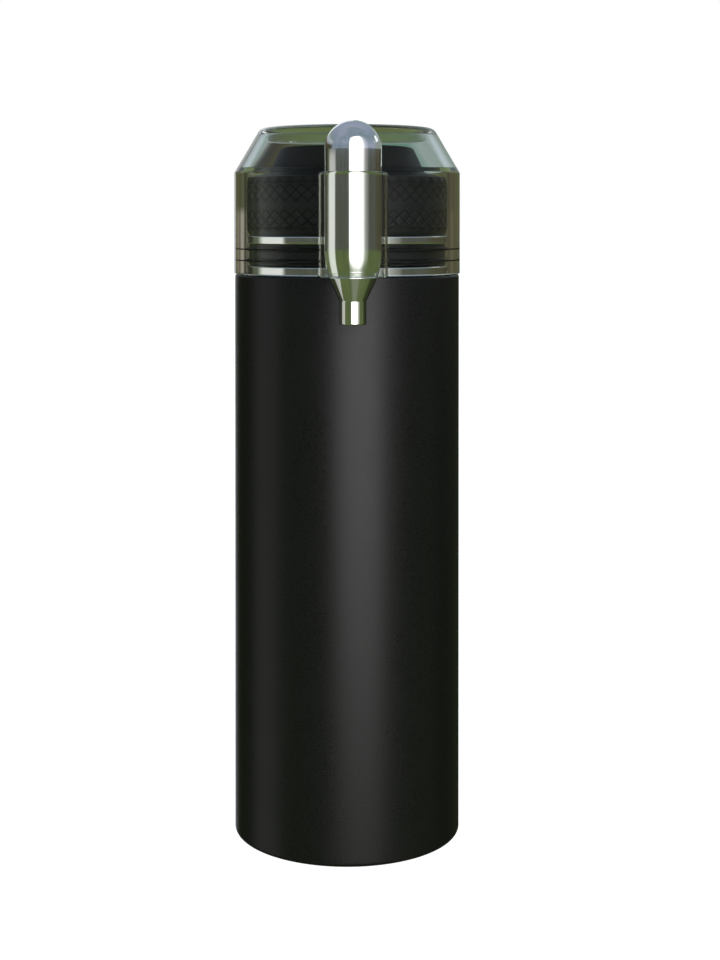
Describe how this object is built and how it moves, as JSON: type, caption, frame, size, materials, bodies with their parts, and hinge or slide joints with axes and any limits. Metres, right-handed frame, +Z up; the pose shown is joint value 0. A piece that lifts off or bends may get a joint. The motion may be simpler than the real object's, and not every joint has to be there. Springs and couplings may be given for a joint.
{
  "type": "vacuum flask",
  "caption": "Tall black vacuum flask for fizzy water with a knurled screw lid under a thick clear lift-off cap that carries a gas cartridge, neck down, in a sleeve on its front.",
  "frame": {"origin": "centre of the flask's round base, on the flask's axis, at the plane it stands on", "axes": "+Z up along the flask's axis, -Y towards the gas cartridge on the front, +X to the right as seen from the front"},
  "size_m": [0.0786, 0.0993, 0.244],
  "materials": {
    "powder_coat": "satin black powder coat with a fine grain",
    "bare_steel": "bare stainless sheet, satin",
    "seal_glass": "dark sealing glass bead",
    "liner_steel": "electropolished stainless, satin",
    "getter_pellet": "dull sintered metal",
    "polished_steel": "mirror polished stainless",
    "silicone": "translucent grey silicone, matte",
    "lid_plastic": "moulded black polypropylene",
    "grip_plastic": "black, knurled, satin",
    "crown_plastic": "black, satin",
    "collar_silicone": "black silicone, matte",
    "liner_plastic": "food grade polypropylene, natural",
    "screw_steel": "stainless",
    "valve_brass": "turned brass",
    "valve_plastic": "acetal, natural",
    "spring_steel": "stainless spring wire",
    "clear_plastic": "clear moulded copolyester, polished, faint green",
    "cartridge_steel": "zinc bright steel, polished"
  },
  "bodies": {
    "flask": {"outer_shell": "powder_coat", "base_plate": "bare_steel", "vacuum_plug": "seal_glass", "plug_cover": "bare_steel", "inner_liner": "liner_steel", "getter_clip": "bare_steel", "getter": "getter_pellet", "threaded_neck": "polished_steel"},
    "lid_seal": {"lid_gasket": "silicone"},
    "lid": {"lid_core": "lid_plastic", "grip_ring": "grip_plastic", "crown": "crown_plastic", "trim_ring": "polished_steel", "cap_collar": "collar_silicone", "lid_liner": "liner_plastic", "liner_screws": "screw_steel", "inlet_body": "valve_brass", "inlet_seal": "silicone", "piercing_pin": "screw_steel", "inlet_gasket": "silicone", "spring_retainer": "valve_brass", "inlet_spring": "spring_steel", "relief_body": "valve_brass", "relief_spring": "spring_steel", "relief_cap": "valve_brass"},
    "inlet_valve": {"inlet_poppet": "valve_plastic"},
    "relief_valve": {"relief_plunger": "valve_plastic"},
    "cap": {"clear_cap": "clear_plastic"},
    "cartridge": {"cartridge_shell": "cartridge_steel", "cartridge_seal": "bare_steel"}
  },
  "joints": [
    {"name": "lid_rise", "type": "slide", "parent": "flask", "child": "lid_seal", "axis": [0, 0, 1], "range_m": [0, 0.007]},
    {"name": "lid_turn", "type": "hinge", "parent": "lid_seal", "child": "lid", "pos_m": [0, 0, 0.205], "axis": [0, 0, 1], "range_deg": [0, 630]},
    {"name": "cap_lift", "type": "slide", "parent": "lid", "child": "cap", "axis": [0, 0, 1], "range_m": [0, 0.06]},
    {"name": "cartridge_slide", "type": "slide", "parent": "cap", "child": "cartridge", "axis": [0, 0, 1], "range_m": [0, 0.052]},
    {"name": "inlet_open", "type": "slide", "parent": "lid", "child": "inlet_valve", "axis": [0, 0, -1], "range_m": [0, 0.001], "stiffness_N_per_m": 300, "springref_m": -0.001, "deforming": ["inlet_spring"]},
    {"name": "relief_open", "type": "slide", "parent": "lid", "child": "relief_valve", "axis": [0, 0, 1], "range_m": [0, 0.001], "stiffness_N_per_m": 1000, "springref_m": -0.002, "deforming": ["relief_spring"]}
  ],
  "couplings": [
    {"joint": "lid_rise", "follows": "lid_turn", "m_per_rad": 0.00063662}
  ]
}
